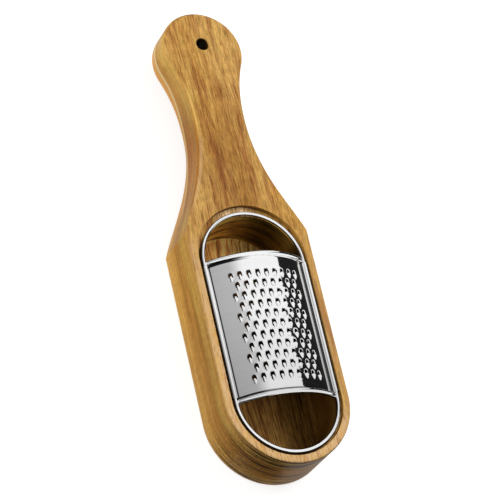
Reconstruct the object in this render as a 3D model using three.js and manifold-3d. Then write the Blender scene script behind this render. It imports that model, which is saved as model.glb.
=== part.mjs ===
// A hand-held cheese grater: a wooden body with a handle, hollowed to catch what is grated,
// and a stainless insert that lies in a rebate round the hollow and lifts out to empty it.
// Millimetres, +Z up. The body lies on z = 0, and +Y runs from it towards the handle.
import * as THREE from 'three';
import { mergeVertices } from 'three/addons/utils/BufferGeometryUtils.js';
import Module from 'manifold-3d';

const wasm = await Module();
wasm.setup();

// Wooden body: its outline seen from above, measured from the lower end
const overallLength = 278.6;
const bodyWidth = 73.8;
const shoulderReach = 137.2;
const shoulderSlope = THREE.MathUtils.degToRad(22);
const neckWidth = 32;
const neckReach = 208;
const headWidth = 48.8;
const headJoinAngle = THREE.MathUtils.degToRad(-21.5);
// Pulls of the two curves of the handle's side, as shares of the stretch that each spans
const shoulderPullShare = 0.29;
const neckLowerPullShare = 0.43;
const neckUpperPullShare = 0.51;
const headPullShare = 0.22;

// Wooden body: its thickness and the rounding of its edges
const bodyThickness = 33.7;
const handleThickness = 24.5;
// The underside rises to the handle's over this stretch past the shoulder
const riseRun = 61;
const bodyTopRound = 1.3;
const bodyBottomRound = 1.3;
const handleTopRound = 2.8;
const handleBottomRound = 6;
// The rounding grows to its size on the handle over this stretch past the shoulder
const roundingRun = 39;
// A rounding takes at most this share of the half width or thickness that carries it
const roundLimitShare = 0.85;

// Hanging hole through the head
const hangingHoleDiameter = 7.5;
const hangingHoleFromTop = 21.3;
const hangingHoleChamfer = 0.7;

// Insert: a ring of wire, two arched cross wires and a sheet with its edges rolled round them
const ringWidth = 60;
const ringStraight = 81.3;
const ringWireDiameter = 2;
const crossWireDiameter = 1.8;
const sheetThickness = 0.4;
const rollClearance = 0.15;
const rollBendRadius = 0.55;
const rollSweep = THREE.MathUtils.degToRad(285);
const archRise = 10.9;
const weldGap = 0.3;

// Hollow and rebate in the wood
const ledgeUnderRing = 0.6;
const hollowFloorThickness = 3.5;
const hollowCove = 2.5;
const rebateClearance = 0.85;
const rebateHandleRoom = 2.2;
const ringBelowTop = 0.8;
const seatGap = 0.3;

// Teeth: hollow drops raised out of the sheet, each with its mouth towards the handle
const toothRows = 11;
const teethInLongRow = 9;
const rowPitch = 6;
const toothPitch = 5;
const rowsBelowMiddle = 0.6;
const toothWidth = 2.9;
const toothHeight = 1.3;
const toothBack = 2.9;
const toothFront = 0.5;
const mouthFront = 1.7;
const toothWall = 0.3;
// Stations along a drop from its lip to its tail, and how full the drop is at each
const dropStationShares = [0, 0.3, 1];
const dropFullnessShares = [0.94, 1, 0.12];
// Stations along the opening behind it, from its round front to its tail
const mouthStationShares = [0, 0.24, 0.92];
const mouthFullnessShares = [0.5, 0.98, 0.2];

// Facets
const bodyEndSteps = 22;
const curveSteps = 12;
const headSteps = 12;
const topRoundSteps = 3;
const bottomRoundSteps = 5;
const coveSteps = 3;
const holeSteps = 20;
const wireSides = 8;
const ringArcSteps = 18;
const archSteps = 16;
const bendSteps = 3;
const rollSteps = 8;
const toothSides = 4;
const mouthSides = 3;

// Every cut runs this far past the faces that it opens
const overrun = 1;

const woodMaterial = new THREE.MeshStandardMaterial({ color: 0xa8763a, roughness: 0.5, metalness: 0 });
const sheetMaterial = new THREE.MeshStandardMaterial({ color: 0xc9cacc, roughness: 0.14, metalness: 1 });
const wireMaterial = new THREE.MeshStandardMaterial({ color: 0xd3d4d6, roughness: 0.12, metalness: 1 });

// Places worked out from the sizes
const lowestY = -overallLength / 2;
const bodyRadius = bodyWidth / 2;
const lowerCentreY = lowestY + bodyRadius;
const upperCentreY = lowerCentreY + ringStraight;
const shoulderY = lowestY + shoulderReach;
const neckY = lowestY + neckReach;
const headRadius = headWidth / 2;
const headCentreY = overallLength / 2 - headRadius;
const hangingHoleY = overallLength / 2 - hangingHoleFromTop;

const ringRadius = ringWidth / 2;
const ringWireRadius = ringWireDiameter / 2;
const crossWireRadius = crossWireDiameter / 2;
const sideRollRadius = ringWireRadius + rollClearance + sheetThickness / 2;
const endRollRadius = crossWireRadius + rollClearance + sheetThickness / 2;
const ringZ = bodyThickness - ringBelowTop;
const ledgeZ = ringZ - sideRollRadius - sheetThickness / 2 - seatGap;
const hollowRadius = ringRadius - ledgeUnderRing;

// The arch of the sheet runs into the bend beside each side roll without a kink
const bendX = ringRadius - sideRollRadius - rollBendRadius;
const archRadius = (bendX ** 2 + archRise ** 2 - rollBendRadius ** 2) / (2 * (archRise + rollBendRadius));
const archAxisZ = ringZ + archRise - archRadius;
const archAngle = Math.atan2(bendX, ringZ - archAxisZ);

const upwards = new THREE.Vector3(0, 0, 1);
const downwards = new THREE.Vector3(0, 0, -1);
const towardsHandle = new THREE.Vector3(0, 1, 0);
const sideways = new THREE.Vector3(1, 0, 0);

const flatPoint = (x, y) => new THREE.Vector2(x, y);
const atHeight = (points, z) => points.map((p) => new THREE.Vector3(p.x, p.y, z));

// Points along an arc from one angle to another, both ends included
function arcPoints(centre, radius, from, to, steps) {
  const points = [];
  for (let i = 0; i <= steps; i += 1) {
    const angle = from + ((to - from) * i) / steps;
    points.push(flatPoint(centre.x + radius * Math.cos(angle), centre.y + radius * Math.sin(angle)));
  }
  return points;
}

// Closed skin over loops of equal count that turn left about the way from loop to loop.
// A lid is a list of corner triples over one loop; without it the last loop joins the first.
function skin(loops, lid) {
  const count = loops[0].length;
  const indices = [];
  const bands = lid ? loops.length - 1 : loops.length;
  for (let i = 0; i < bands; i += 1) {
    const here = i * count;
    const next = ((i + 1) % loops.length) * count;
    for (let j = 0; j < count; j += 1) {
      const k = (j + 1) % count;
      indices.push(here + j, here + k, next + k, here + j, next + k, next + j);
    }
  }
  if (lid) {
    const last = (loops.length - 1) * count;
    lid.forEach(([a, b, c]) => indices.push(a, c, b, last + a, last + b, last + c));
  }
  const geometry = new THREE.BufferGeometry();
  const corners = loops.flat().flatMap((p) => [p.x, p.y, p.z]);
  geometry.setAttribute('position', new THREE.Float32BufferAttribute(corners, 3));
  geometry.setIndex(indices);
  return geometry;
}

const flatLid = (outline) => THREE.ShapeUtils.triangulateShape(outline, []);

// Lid over a loop that is mirrored about its first point, as rungs from side to side
function ladderLid(count) {
  const lid = [];
  for (let i = 0; i < count / 2; i += 1) {
    const opposite = (count - i) % count;
    const nextOpposite = count - i - 1;
    if (i !== opposite) lid.push([i, i + 1, opposite]);
    if (i + 1 !== nextOpposite) lid.push([i + 1, nextOpposite, opposite]);
  }
  return lid;
}

// One loop of a section at a station, whose across and rise give the way on as their product
function sectionLoop(section, station) {
  return section.map((p) => station.origin.clone()
    .addScaledVector(station.across, p.x)
    .addScaledVector(station.rise, p.y));
}

function sweep(section, stations, lid) {
  return skin(stations.map((station) => sectionLoop(section, station)), lid);
}

function solidOf(geometry) {
  const bare = geometry.clone();
  bare.deleteAttribute('normal');
  bare.deleteAttribute('uv');
  const merged = mergeVertices(bare);
  return new wasm.Manifold(new wasm.Mesh({
    numProp: 3,
    vertProperties: Float32Array.from(merged.attributes.position.array),
    triVerts: Uint32Array.from(merged.index.array),
  }));
}

function geometryOf(solid) {
  const { vertProperties, triVerts } = solid.getMesh();
  const geometry = new THREE.BufferGeometry();
  geometry.setAttribute('position', new THREE.BufferAttribute(vertProperties, 3));
  geometry.setIndex(new THREE.BufferAttribute(triVerts, 1));
  geometry.computeVertexNormals();
  return geometry;
}

// Right-hand side of the body's outline, from the lowest point to the top of the head
function bodySide() {
  const shoulder = flatPoint(bodyRadius, shoulderY);
  const neck = flatPoint(neckWidth / 2, neckY);
  const headCentre = flatPoint(0, headCentreY);
  const head = arcPoints(headCentre, headRadius, headJoinAngle, Math.PI / 2, headSteps);
  const join = head[0];
  const lowerSpan = neck.y - shoulder.y;
  const upperSpan = join.y - neck.y;
  const lowerCurve = new THREE.CubicBezierCurve(
    shoulder,
    flatPoint(
      shoulder.x - lowerSpan * shoulderPullShare * Math.sin(shoulderSlope),
      shoulder.y + lowerSpan * shoulderPullShare * Math.cos(shoulderSlope),
    ),
    flatPoint(neck.x, neck.y - lowerSpan * neckLowerPullShare),
    neck,
  );
  const upperCurve = new THREE.CubicBezierCurve(
    neck,
    flatPoint(neck.x, neck.y + upperSpan * neckUpperPullShare),
    flatPoint(
      join.x + upperSpan * headPullShare * Math.sin(headJoinAngle),
      join.y - upperSpan * headPullShare * Math.cos(headJoinAngle),
    ),
    join,
  );
  return [
    ...arcPoints(flatPoint(0, lowerCentreY), bodyRadius, -Math.PI / 2, 0, bodyEndSteps / 2),
    ...lowerCurve.getPoints(curveSteps),
    ...upperCurve.getPoints(curveSteps).slice(1),
    ...head.slice(1),
  ];
}

// 0 up to the shoulder and 1 from the given run past it, with a smooth turn at both
const grownAt = (y, run) => THREE.MathUtils.smoothstep(y, shoulderY, shoulderY + run);

function undersideAt(y) {
  return (bodyThickness - handleThickness) * grownAt(y, riseRun);
}

function roundingAt(y, onBody, onHandle) {
  const onHandleLimited = Math.min(onHandle, Math.min(neckWidth, handleThickness) / 2 * roundLimitShare);
  return THREE.MathUtils.lerp(onBody, onHandleLimited, grownAt(y, roundingRun));
}

// The block before it is hollowed: its outline drawn in level by level along the rounded edges
function bodyBlank() {
  const side = bodySide();
  const otherSide = side.slice(1, -1).reverse().map((p) => flatPoint(-p.x, p.y));
  const outline = [...side, ...otherSide];
  const inward = outline.map((p, i) => {
    const before = outline[(i + outline.length - 1) % outline.length];
    const after = outline[(i + 1) % outline.length];
    const along = after.clone().sub(before).normalize();
    return flatPoint(-along.y, along.x);
  });
  const level = (turn, onBody, onHandle, height) => outline.map((p, i) => {
    const rounding = roundingAt(p.y, onBody, onHandle);
    const drawnIn = p.clone().addScaledVector(inward[i], rounding * (1 - Math.sin(turn)));
    return new THREE.Vector3(drawnIn.x, drawnIn.y, height(p.y, rounding * (1 - Math.cos(turn))));
  });
  const aboveUnderside = (y, rise) => undersideAt(y) + rise;
  const belowTop = (y, fall) => bodyThickness - fall;
  const loops = [];
  for (let i = 0; i <= bottomRoundSteps; i += 1) {
    const turn = (Math.PI / 2) * (i / bottomRoundSteps);
    loops.push(level(turn, bodyBottomRound, handleBottomRound, aboveUnderside));
  }
  for (let i = topRoundSteps; i >= 0; i -= 1) {
    const turn = (Math.PI / 2) * (i / topRoundSteps);
    loops.push(level(turn, bodyTopRound, handleTopRound, belowTop));
  }
  return skin(loops, ladderLid(outline.length));
}

// Stadium with its round ends about two centres on the middle line
function stadium(radius, fromY, toY) {
  return [
    ...arcPoints(flatPoint(0, fromY), radius, -Math.PI, 0, ringArcSteps),
    ...arcPoints(flatPoint(0, toY), radius, 0, Math.PI, ringArcSteps),
  ];
}

// Room of the hollow, whose wall turns into its floor through a cove
function hollowRoom() {
  const loops = [];
  for (let i = 0; i <= coveSteps; i += 1) {
    const turn = (Math.PI / 2) * (i / coveSteps);
    const radius = hollowRadius - hollowCove * (1 - Math.sin(turn));
    const z = hollowFloorThickness + hollowCove * (1 - Math.cos(turn));
    loops.push(atHeight(stadium(radius, lowerCentreY, upperCentreY), z));
  }
  const mouth = stadium(hollowRadius, lowerCentreY, upperCentreY);
  loops.push(atHeight(mouth, bodyThickness + overrun));
  return skin(loops, flatLid(mouth));
}

// Room of the rebate, longer than the ring at the handle end so that a finger can lift the ring
function rebateRoom() {
  const radius = ringRadius + sideRollRadius + sheetThickness / 2 + rebateClearance;
  const mouth = stadium(radius, lowerCentreY, upperCentreY + rebateHandleRoom);
  return skin([atHeight(mouth, ledgeZ), atHeight(mouth, bodyThickness + overrun)], flatLid(mouth));
}

function hangingHoleRoom() {
  const radius = hangingHoleDiameter / 2;
  const flare = radius + hangingHoleChamfer + overrun;
  const underside = undersideAt(headCentreY);
  const room = new THREE.LatheGeometry([
    flatPoint(0, underside - overrun),
    flatPoint(flare, underside - overrun),
    flatPoint(radius, underside + hangingHoleChamfer),
    flatPoint(radius, bodyThickness - hangingHoleChamfer),
    flatPoint(flare, bodyThickness + overrun),
    flatPoint(0, bodyThickness + overrun),
  ], holeSteps);
  room.rotateX(Math.PI / 2);
  room.translate(0, hangingHoleY, 0);
  return room;
}

function woodBody() {
  return geometryOf(solidOf(bodyBlank())
    .subtract(solidOf(hollowRoom()))
    .subtract(solidOf(rebateRoom()))
    .subtract(solidOf(hangingHoleRoom())));
}

const wireSection = (radius) => arcPoints(flatPoint(0, 0), radius, 0, 2 * Math.PI, wireSides).slice(0, -1);

// The ring is one wire bent to a stadium and closed end to end
function wireRing() {
  const stations = stadium(ringRadius, lowerCentreY, upperCentreY).map((p, i) => {
    const centreY = i <= ringArcSteps ? lowerCentreY : upperCentreY;
    const outward = new THREE.Vector3(p.x, p.y - centreY, 0).normalize();
    return { origin: new THREE.Vector3(p.x, p.y, ringZ), across: outward, rise: downwards };
  });
  return sweep(wireSection(ringWireRadius), stations);
}

// Stations over the arch at a given radius about its axis, from the left foot to the right one
function archStations(radius, angle) {
  const stations = [];
  for (let i = 0; i <= archSteps; i += 1) {
    const turn = angle * ((2 * i) / archSteps - 1);
    const outward = upwards.clone().applyAxisAngle(towardsHandle, turn);
    const origin = new THREE.Vector3(0, 0, archAxisZ).addScaledVector(outward, radius);
    stations.push({ origin, across: towardsHandle, rise: outward });
  }
  return stations;
}

// An arched cross wire, welded by its two ends to the inner side of the ring
function crossWire(y) {
  const radius = archRadius + rollBendRadius;
  const toRing = ringRadius - bendX;
  const besideRing = Math.max(toRing * Math.sin(archAngle) - crossWireRadius, 0);
  const clear = Math.sqrt((ringWireRadius + weldGap) ** 2 - besideRing ** 2);
  const pastBend = toRing * Math.cos(archAngle) - clear;
  const section = wireSection(crossWireRadius);
  const wire = sweep(section, archStations(radius, archAngle + pastBend / radius), flatLid(section));
  return wire.translate(0, y, 0);
}

// Middle line of a bent and rolled edge. It starts at the end of the sheet, along +x, bends up
// beside the wire and rolls over and round it.
function rollLine(bendTurn, rollRadius) {
  const bend = arcPoints(
    flatPoint(0, rollBendRadius),
    rollBendRadius,
    -Math.PI / 2,
    bendTurn - Math.PI / 2,
    bendSteps,
  );
  const bendEnd = bend[bend.length - 1];
  const wire = flatPoint(
    bendEnd.x + rollRadius * Math.sin(bendTurn),
    bendEnd.y - rollRadius * Math.cos(bendTurn),
  );
  const start = bendTurn + Math.PI / 2;
  return [...bend, ...arcPoints(wire, rollRadius, start, start - rollSweep, rollSteps).slice(1)];
}

// Outline of the sheet's thickness along a middle line
function strip(line) {
  const sides = [-1, 1].map((side) => line.map((p, i) => {
    const before = line[Math.max(i - 1, 0)];
    const after = line[Math.min(i + 1, line.length - 1)];
    const along = after.clone().sub(before).normalize();
    return flatPoint(-along.y, along.x).multiplyScalar(side * sheetThickness / 2).add(p);
  }));
  return [...sides[0], ...sides[1].reverse()];
}

// The arched sheet with its two ends rolled round the cross wires
function archedSheet() {
  const toWire = rollBendRadius + endRollRadius;
  const upperRoll = rollLine(Math.PI / 2, endRollRadius)
    .map((p) => flatPoint(upperCentreY - toWire + p.x, p.y));
  const lowerRoll = rollLine(Math.PI / 2, endRollRadius)
    .map((p) => flatPoint(lowerCentreY + toWire - p.x, p.y));
  const section = strip([...lowerRoll.reverse(), ...upperRoll]);
  return sweep(section, archStations(archRadius, archAngle), flatLid(section));
}

// One foot of the arch, bent out and rolled round the straight of the ring; side is 1 or -1
function sideRoll(side) {
  const foot = flatPoint(archRadius * Math.sin(archAngle), archAxisZ + archRadius * Math.cos(archAngle));
  const outline = strip(rollLine(Math.PI / 2 + archAngle, sideRollRadius))
    .map((p) => p.rotateAround(flatPoint(0, 0), -archAngle).add(foot));
  const toWire = rollBendRadius + endRollRadius;
  const stations = [upperCentreY - toWire, lowerCentreY + toWire].map((y) => ({
    origin: new THREE.Vector3(0, y, 0), across: sideways, rise: upwards,
  }));
  const roll = sweep(outline, stations, flatLid(outline));
  return side > 0 ? roll : roll.rotateZ(Math.PI).translate(0, lowerCentreY + upperCentreY, 0);
}

// Half a drop's section at one station: a dome on two feet that reach down to a given depth
function domeSection(halfWidth, height, foot, sides) {
  const dome = arcPoints(flatPoint(0, 0), 1, 0, Math.PI, sides)
    .map((p) => flatPoint(p.x * halfWidth, p.y * height));
  return [flatPoint(halfWidth, -foot), ...dome, flatPoint(-halfWidth, -foot)];
}

// A drop from its lip to its tail, lying on the middle of the sheet at the top of the arch
function drop(from, to, halfWidth, height, foot, sides, stationShares, fullnessShares) {
  const loops = stationShares.map((share, i) => {
    const section = domeSection(halfWidth * fullnessShares[i], height * fullnessShares[i], foot, sides);
    const origin = new THREE.Vector3(0, THREE.MathUtils.lerp(from, to, share), archAxisZ + archRadius);
    return sectionLoop(section, { origin, across: sideways, rise: upwards });
  });
  const lid = flatLid(domeSection(halfWidth, height, foot, sides));
  return skin(loops, lid);
}

// Places of the teeth as an angle round the arch and a place along it, row by row
function toothPlaces() {
  const middleY = (lowerCentreY + upperCentreY) / 2 - rowsBelowMiddle;
  const places = [];
  for (let row = 0; row < toothRows; row += 1) {
    const teeth = teethInLongRow - (row % 2);
    for (let i = 0; i < teeth; i += 1) {
      places.push({
        angle: ((i - (teeth - 1) / 2) * toothPitch) / archRadius,
        y: middleY + (row - (toothRows - 1) / 2) * rowPitch,
      });
    }
  }
  return places;
}

// A tool shape set at every tooth's place, as one solid of many separate pieces
function atEveryTooth(tool) {
  const axis = new THREE.Matrix4().makeTranslation(0, 0, archAxisZ);
  const back = new THREE.Matrix4().makeTranslation(0, 0, -archAxisZ);
  const copies = toothPlaces().map(({ angle, y }) => {
    const place = new THREE.Matrix4().makeTranslation(0, y, 0)
      .multiply(axis).multiply(new THREE.Matrix4().makeRotationY(angle)).multiply(back);
    return solidOf(tool.clone().applyMatrix4(place));
  });
  return wasm.Manifold.union(copies);
}

function graterPlate() {
  const tooth = drop(toothFront, -toothBack, toothWidth / 2, toothHeight, 0, toothSides,
    dropStationShares, dropFullnessShares);
  const mouth = drop(toothFront + mouthFront, -toothBack, toothWidth / 2 - toothWall,
    toothHeight - toothWall, sheetThickness + overrun, mouthSides,
    mouthStationShares, mouthFullnessShares);
  return geometryOf(solidOf(archedSheet())
    .add(solidOf(sideRoll(1)))
    .add(solidOf(sideRoll(-1)))
    .add(atEveryTooth(tooth))
    .subtract(atEveryTooth(mouth)));
}

function named(name, geometry, material) {
  const mesh = new THREE.Mesh(geometry, material);
  mesh.name = name;
  return mesh;
}

const insert = new THREE.Group();
insert.add(
  named('wire_ring', wireRing(), wireMaterial),
  named('upper_cross_wire', crossWire(upperCentreY), wireMaterial),
  named('lower_cross_wire', crossWire(lowerCentreY), wireMaterial),
  named('grater_plate', graterPlate(), sheetMaterial),
);

const grater = new THREE.Group();
grater.add(named('wood_body', woodBody(), woodMaterial), insert);

export default grater;
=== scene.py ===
"""A hand-held cheese grater: a hollowed wooden body and an arched steel insert that lifts out."""

import math

import bmesh
import bpy
from mathutils import Matrix, Vector
from mathutils.geometry import interpolate_bezier


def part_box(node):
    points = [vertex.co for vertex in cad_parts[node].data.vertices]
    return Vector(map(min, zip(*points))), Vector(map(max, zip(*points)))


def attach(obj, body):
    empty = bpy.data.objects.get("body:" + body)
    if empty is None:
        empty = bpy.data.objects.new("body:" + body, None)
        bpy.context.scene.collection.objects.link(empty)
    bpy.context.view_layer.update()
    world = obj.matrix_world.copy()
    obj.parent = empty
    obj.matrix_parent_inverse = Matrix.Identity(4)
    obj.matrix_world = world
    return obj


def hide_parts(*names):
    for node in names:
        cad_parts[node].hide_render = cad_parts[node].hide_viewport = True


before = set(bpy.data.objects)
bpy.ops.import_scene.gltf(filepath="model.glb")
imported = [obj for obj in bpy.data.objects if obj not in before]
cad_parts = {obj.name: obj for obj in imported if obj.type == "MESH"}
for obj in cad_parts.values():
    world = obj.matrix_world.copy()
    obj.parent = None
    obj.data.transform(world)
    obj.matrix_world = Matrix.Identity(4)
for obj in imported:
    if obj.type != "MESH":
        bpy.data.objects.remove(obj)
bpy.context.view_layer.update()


# Wooden body. One block of oiled hardwood is sawn to a paddle with a waisted handle, then routed
# out from above to catch what is grated. Its edges are eased on the body and rounded on the handle.
wood_low, wood_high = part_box("wood_body")
BODY_RADIUS = (wood_high.x - wood_low.x) / 2
BODY_TOP = wood_high.z
LOWER_CENTRE_Y = wood_low.y + BODY_RADIUS
SHOULDER_Y = wood_low.y + 0.1372
SHOULDER_SLOPE = math.radians(22)
NECK_WIDTH = 0.032
NECK_Y = wood_low.y + 0.208
HEAD_RADIUS = 0.0244
HEAD_CENTRE_Y = wood_high.y - HEAD_RADIUS
HANDLE_THICKNESS = 0.0245
RISE_RUN = 0.061
HEAD_JOIN_ANGLE = math.radians(-21.5)
SHOULDER_PULL_SHARE = 0.29
NECK_LOWER_PULL_SHARE = 0.43
NECK_UPPER_PULL_SHARE = 0.51
HEAD_PULL_SHARE = 0.22
HEAD_STEPS = 40
SWELL_POINTS = 40
WAIST_POINTS = 48
STRAIGHT_STEPS = 12
END_STEPS = 48
BODY_TOP_ROUND = 0.0013
BODY_BOTTOM_ROUND = 0.0013
HANDLE_TOP_ROUND = 0.0028
HANDLE_BOTTOM_ROUND = 0.006
ROUNDING_RUN = 0.039
BOTTOM_ROUND_STEPS = 12
TOP_ROUND_STEPS = 6
HANGING_HOLE_RADIUS = 0.00375
HANGING_HOLE_Y = wood_high.y - 0.0213
HANGING_HOLE_EASE = 0.0007
HANGING_HOLE_SIDES = 48
RING_STRAIGHT = 0.0813
UPPER_CENTRE_Y = LOWER_CENTRE_Y + RING_STRAIGHT
HOLLOW_RADIUS = 0.0294
HOLLOW_FLOOR = 0.0035
HOLLOW_COVE = 0.0025
HOLLOW_COVE_STEPS = 10
HALF_TURN_STEPS = 64
REBATE_RADIUS = 0.0324
REBATE_FLOOR = 0.03105
REBATE_HANDLE_ROOM = 0.0022
LIP_EASE = 0.0004
LIP_STEPS = 4
CUT_OVERRUN = 0.002
WOOD_SHARP_ANGLE = math.radians(30)


def arc(centre, radius, start, end, steps):
    """Points along an arc seen from above, both ends included."""
    turns = [start + (end - start) * i / steps for i in range(steps + 1)]
    return [Vector((centre[0] + radius * math.cos(t), centre[1] + radius * math.sin(t))) for t in turns]


def quarter_turn(steps):
    """Angles from 0 to a right angle."""
    return [math.pi / 2 * i / steps for i in range(steps + 1)]


def body_outline():
    """The outline seen from above, anticlockwise from the lowest point."""
    shoulder = Vector((BODY_RADIUS, SHOULDER_Y))
    neck = Vector((NECK_WIDTH / 2, NECK_Y))
    head = arc((0, HEAD_CENTRE_Y), HEAD_RADIUS, HEAD_JOIN_ANGLE, math.pi / 2, HEAD_STEPS)
    join = head[0]
    down = Vector((math.sin(SHOULDER_SLOPE), -math.cos(SHOULDER_SLOPE)))
    around = Vector((math.sin(HEAD_JOIN_ANGLE), -math.cos(HEAD_JOIN_ANGLE)))
    lower_span = neck.y - shoulder.y
    upper_span = join.y - neck.y
    waist = interpolate_bezier(
        shoulder,
        shoulder - down * lower_span * SHOULDER_PULL_SHARE,
        neck - Vector((0, lower_span * NECK_LOWER_PULL_SHARE)),
        neck,
        WAIST_POINTS,
    )
    swell = interpolate_bezier(
        neck,
        neck + Vector((0, upper_span * NECK_UPPER_PULL_SHARE)),
        join + around * upper_span * HEAD_PULL_SHARE,
        join,
        SWELL_POINTS,
    )
    end = arc((0, LOWER_CENTRE_Y), BODY_RADIUS, -math.pi / 2, 0, END_STEPS)
    straight = [end[-1].lerp(shoulder, step / STRAIGHT_STEPS) for step in range(1, STRAIGHT_STEPS)]
    right = end + straight + waist + swell[1:] + head[1:]
    return right + [Vector((-p.x, p.y)) for p in reversed(right[1:-1])]


def smooth_share(y, start, run):
    """0 at the start and 1 a run past it, with a smooth turn at both."""
    share = min(max((y - start) / run, 0), 1)
    return share * share * (3 - 2 * share)


def underside(y):
    """Height of the wood's lower face, which climbs past the shoulder to the thinner handle."""
    return (BODY_TOP - HANDLE_THICKNESS) * smooth_share(y, SHOULDER_Y, RISE_RUN)


def rounded_level(outline, turn, on_body, on_handle, height):
    """The outline drawn in by the rounding of its edge at one turn of that rounding."""
    level = []
    for i, p in enumerate(outline):
        along = (outline[(i + 1) % len(outline)] - outline[i - 1]).normalized()
        grown = smooth_share(p.y, SHOULDER_Y, ROUNDING_RUN)
        rounding = on_body + (on_handle - on_body) * grown
        drawn = rounding * (1 - math.sin(turn))
        rise = rounding * (1 - math.cos(turn))
        level.append(Vector((p.x - along.y * drawn, p.y + along.x * drawn, height(p.y, rise))))
    return level


def loft(mesh, loops):
    """A skin from loop to loop. Returns the edges of each loop."""
    edges = []
    for points in loops:
        corners = [mesh.verts.new(p) for p in points]
        edges.append([mesh.edges.new((corners[i - 1], corners[i])) for i in range(len(corners))])
    for lower, upper in zip(edges, edges[1:]):
        bmesh.ops.bridge_loops(mesh, edges=lower + upper)
    return edges


def piece_of(name, mesh):
    """A new object from a mesh, with its faces turned to one side, outwards where it is closed."""
    bmesh.ops.recalc_face_normals(mesh, faces=mesh.faces)
    data = bpy.data.meshes.new(name)
    mesh.to_mesh(data)
    mesh.free()
    piece = bpy.data.objects.new(name, data)
    bpy.context.scene.collection.objects.link(piece)
    return piece


def settle(piece, sharp):
    """Applies the piece's modifiers and shades it smooth, but for edges over the sharp angle."""
    bpy.context.view_layer.update()
    made = piece.evaluated_get(bpy.context.evaluated_depsgraph_get())
    data = bpy.data.meshes.new_from_object(made)
    data.name = piece.name
    piece.modifiers.clear()
    piece.data = data
    data.shade_smooth()
    data.set_sharp_from_angle(angle=sharp)


def rout(piece, name, profile, outline):
    """Cuts a room that is open above. The outline at each profile point has its radius and height."""
    profile = profile + [(profile[-1][0], BODY_TOP + CUT_OVERRUN)]
    mesh = bmesh.new()
    edges = loft(mesh, [[Vector((p.x, p.y, z)) for p in outline(radius)] for radius, z in profile])
    bmesh.ops.holes_fill(mesh, edges=edges[0] + edges[-1])
    room = piece_of(name, mesh)
    saw = piece.modifiers.new("cut", "BOOLEAN")
    saw.operation = "DIFFERENCE"
    saw.solver = "EXACT"
    saw.object = room
    settle(piece, WOOD_SHARP_ANGLE)
    bpy.data.objects.remove(room)


def stadium(radius, upper_y):
    """Outline with round ends about the lower centre and the given upper one."""
    return (
        arc((0, LOWER_CENTRE_Y), radius, -math.pi, 0, HALF_TURN_STEPS)
        + arc((0, upper_y), radius, 0, math.pi, HALF_TURN_STEPS)
    )


def lip(radius, height, ease, way=1):
    """Profile points that leave a rounded lip at a height. It faces up for a way of 1, down for -1."""
    return [
        (radius + ease * (1 - math.cos(t)), height - way * ease * (1 - math.sin(t)))
        for t in quarter_turn(LIP_STEPS)
    ]


outline = body_outline()
levels = [
    rounded_level(outline, turn, BODY_BOTTOM_ROUND, HANDLE_BOTTOM_ROUND,
                  lambda y, rise: underside(y) + rise)
    for turn in quarter_turn(BOTTOM_ROUND_STEPS)
] + [
    rounded_level(outline, turn, BODY_TOP_ROUND, HANDLE_TOP_ROUND, lambda y, rise: BODY_TOP - rise)
    for turn in reversed(quarter_turn(TOP_ROUND_STEPS))
]
block = bmesh.new()
lowest = loft(block, levels)[0]
half = len(outline) // 2
# The underside bends, so it is bridged from side to side. That leaves out its two ends.
bmesh.ops.bridge_loops(block, edges=lowest[2:half] + lowest[half + 2:])
bmesh.ops.holes_fill(block, edges=block.edges)
wood = piece_of("wooden_body", block)

cove = [
    (HOLLOW_RADIUS - HOLLOW_COVE * (1 - math.sin(t)), HOLLOW_FLOOR + HOLLOW_COVE * (1 - math.cos(t)))
    for t in quarter_turn(HOLLOW_COVE_STEPS)
]
rout(wood, "hollow", cove + lip(HOLLOW_RADIUS, REBATE_FLOOR, LIP_EASE),
     lambda radius: stadium(radius, UPPER_CENTRE_Y))
rout(wood, "rebate", [(REBATE_RADIUS, REBATE_FLOOR)] + lip(REBATE_RADIUS, BODY_TOP, LIP_EASE),
     lambda radius: stadium(radius, UPPER_CENTRE_Y + REBATE_HANDLE_ROOM))
head_underside = underside(HEAD_CENTRE_Y)
lower_lip = lip(HANGING_HOLE_RADIUS, head_underside, HANGING_HOLE_EASE, -1)[::-1]
upper_lip = lip(HANGING_HOLE_RADIUS, BODY_TOP, HANGING_HOLE_EASE)
rout(wood, "hanging_hole", [(lower_lip[0][0], head_underside - CUT_OVERRUN)] + lower_lip + upper_lip,
     lambda radius: arc((0, HANGING_HOLE_Y), radius, 0, 2 * math.pi, HANGING_HOLE_SIDES)[:-1])
flatten = wood.modifiers.new("flat faces", "WEIGHTED_NORMAL")
flatten.keep_sharp = True
flatten.weight = 90
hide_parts("wood_body")
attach(wood, "body")


def new_look(piece, name):
    """A new material on a piece."""
    look = bpy.data.materials.new(name)
    look.use_nodes = True
    piece.data.materials.append(look)
    return look


def fill(made, values):
    """Gives a node's inputs plain values, or links to the outputs of other nodes."""
    for slot, value in values.items():
        if isinstance(value, bpy.types.NodeSocket):
            made.id_data.links.new(value, made.inputs[slot])
        else:
            made.inputs[slot].default_value = value


def dress(look, values):
    """Gives values or links to the inputs of a material's shader."""
    fill(look.node_tree.nodes["Principled BSDF"], values)


def outputs(look, kind, *inputs):
    """Adds a node to a material, links the given values to its inputs and returns its outputs."""
    made = look.node_tree.nodes.new("ShaderNode" + kind)
    fill(made, dict(enumerate(inputs)))
    return made.outputs


def new_node(kind, values, **settings):
    """Adds a node beside those that feed it, of which there is one at least. Returns its first output."""
    tree = next(value.id_data for value in values.values() if isinstance(value, bpy.types.NodeSocket))
    made = tree.nodes.new("ShaderNode" + kind)
    for name, setting in settings.items():
        setattr(made, name, setting)
    fill(made, values)
    return next(output for output in made.outputs if output.enabled)


def sums(operation, *values):
    """A math node on up to three values."""
    return new_node("Math", dict(enumerate(values)), operation=operation)


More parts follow.
